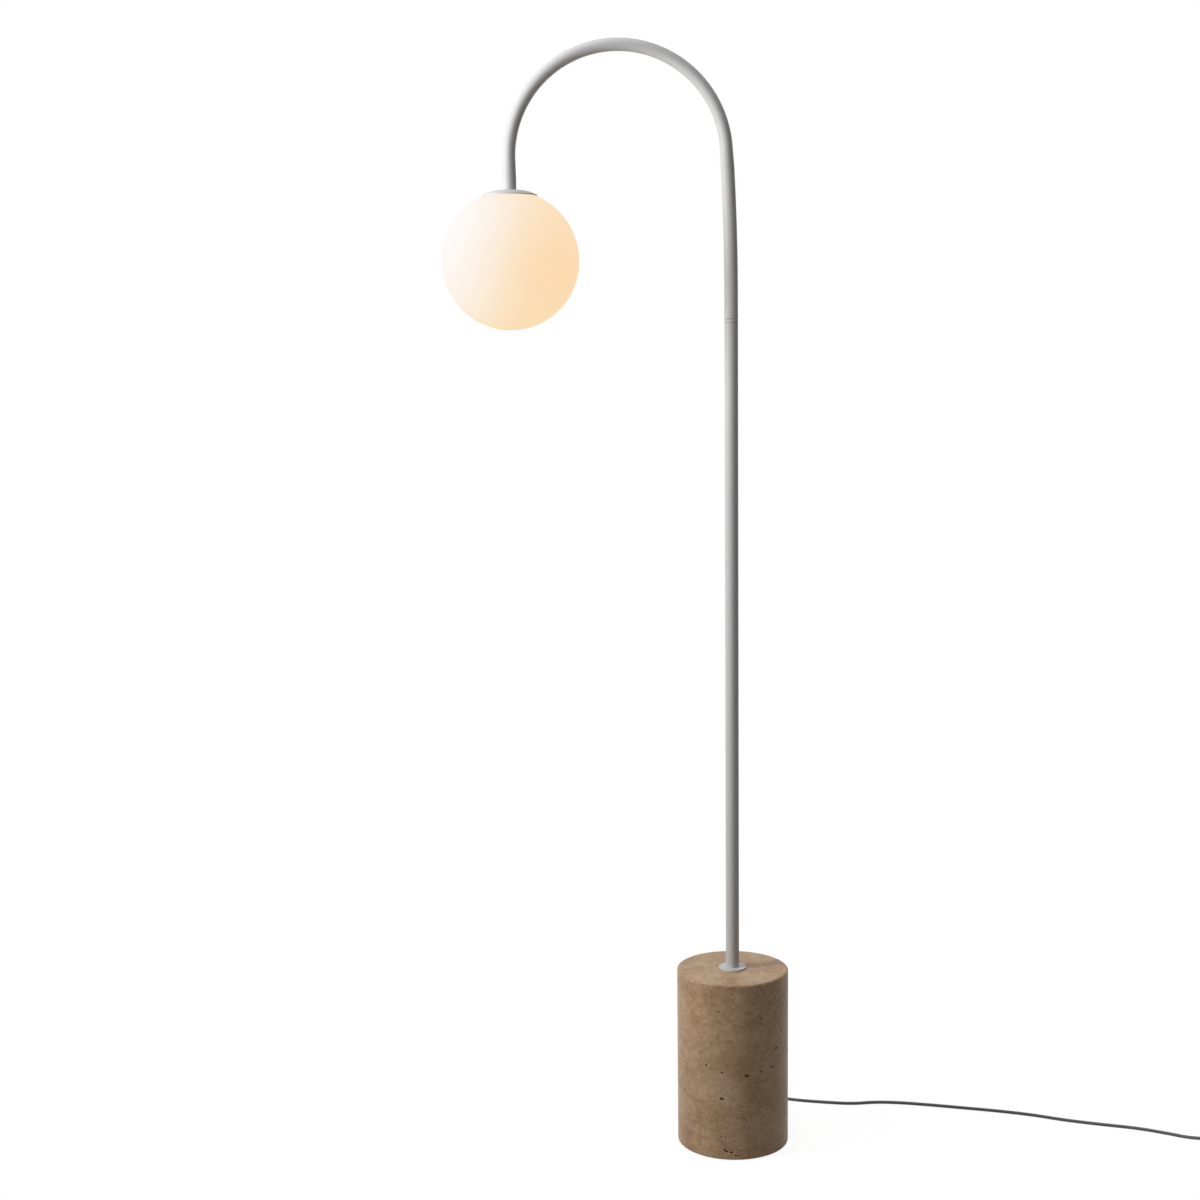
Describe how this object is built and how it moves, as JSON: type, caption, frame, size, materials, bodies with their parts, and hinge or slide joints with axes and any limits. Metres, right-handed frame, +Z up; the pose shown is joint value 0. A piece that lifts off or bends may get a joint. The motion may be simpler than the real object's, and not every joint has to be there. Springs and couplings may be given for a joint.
{
  "type": "globe floor lamp",
  "caption": "Slim floor lamp with a round stone base, a straight pole whose curved top turns, a hanging opal glass globe, and a cord with foot switch and plug.",
  "frame": {"origin": "middle of the base's underside on the floor", "axes": "+Z up along the pole, the arm points to -X, the front is -Y and the cord leaves the base at +Y"},
  "size_m": [1.318, 0.2815, 1.6517],
  "materials": {
    "travertine": "honed",
    "ivory_paint": "satin",
    "opal_glass": "matt opal",
    "lamp_glass": "frosted",
    "ceramic": "glazed ceramic",
    "steel": "zinc plated",
    "blackened_steel": "matt",
    "turned_aluminium": "turned and painted ring",
    "brass": "turned",
    "nylon": "moulded",
    "white_plastic": "moulded",
    "felt": "pressed felt",
    "cord_sleeve": "smooth matt",
    "cable": "smooth",
    "soft_rubber": "moulded",
    "switch_plastic": "fine grain",
    "plug_plastic": "moulded",
    "strap": "hook and loop"
  },
  "bodies": {
    "base": {"travertine_base": "travertine", "floor_pad": "felt", "cover_plate": "blackened_steel", "cover_screws": "steel", "cover_plugs": "nylon", "tie_rod": "steel", "tie_washer": "steel", "tie_nut": "steel", "strain_relief": "soft_rubber", "clamp_saddle": "nylon", "clamp_bar": "nylon", "clamp_screws": "steel", "terminal_block": "white_plastic", "terminal_screws": "brass", "base_cable": "cord_sleeve", "pole_flange": "ivory_paint", "lower_pole": "ivory_paint", "foot_insert": "steel", "pole_coupling": "turned_aluminium", "thrust_washer": "nylon", "pole_cable": "cable", "mains_cord": "cord_sleeve", "switch_base": "switch_plastic", "switch_cover": "switch_plastic", "switch_screws": "steel", "switch_pad": "soft_rubber", "switch_boots": "soft_rubber", "switch_tails": "cord_sleeve", "switch_contacts": "nylon", "switch_spring": "steel", "coil_lead": "cord_sleeve", "cord_coil": "cord_sleeve", "coil_tie": "strap", "plug_lead": "cord_sleeve", "plug_relief": "plug_plastic", "plug_body": "plug_plastic", "plug_pins": "brass"},
    "arm": {"arm_tube": "ivory_paint", "arm_bush": "nylon", "swivel_screw": "blackened_steel", "arm_cable": "cable", "arm_insert": "steel", "globe_cap": "ivory_paint", "cap_nipple": "steel", "carrier_nut": "brass", "globe_carrier": "turned_aluminium", "globe_springs": "steel", "holder_cap": "steel", "lampholder": "ceramic"},
    "globe": {"globe_glass": "opal_glass"},
    "bulb": {"bulb_base": "ceramic", "bulb_pins": "steel", "bulb_glass": "lamp_glass", "bulb_core": "ceramic"},
    "button": {"switch_button": "switch_plastic"}
  },
  "joints": [
    {"name": "arm_swivel", "type": "hinge", "parent": "base", "child": "arm", "pos_m": [0, 0, 1.25], "axis": [0, 0, 1], "range_deg": [-150, 150]},
    {"name": "globe_pull", "type": "slide", "parent": "arm", "child": "globe", "axis": [0, 0, -1], "range_m": [0, 0.015]},
    {"name": "bulb_pull", "type": "slide", "parent": "arm", "child": "bulb", "axis": [0, 0, -1], "range_m": [0, 0.014]},
    {"name": "foot_button", "type": "slide", "parent": "base", "child": "button", "axis": [0, 0, -1], "range_m": [0, 0.003], "stiffness_N_per_m": 800, "springref_m": -0.002, "deforming": ["switch_spring"]}
  ]
}
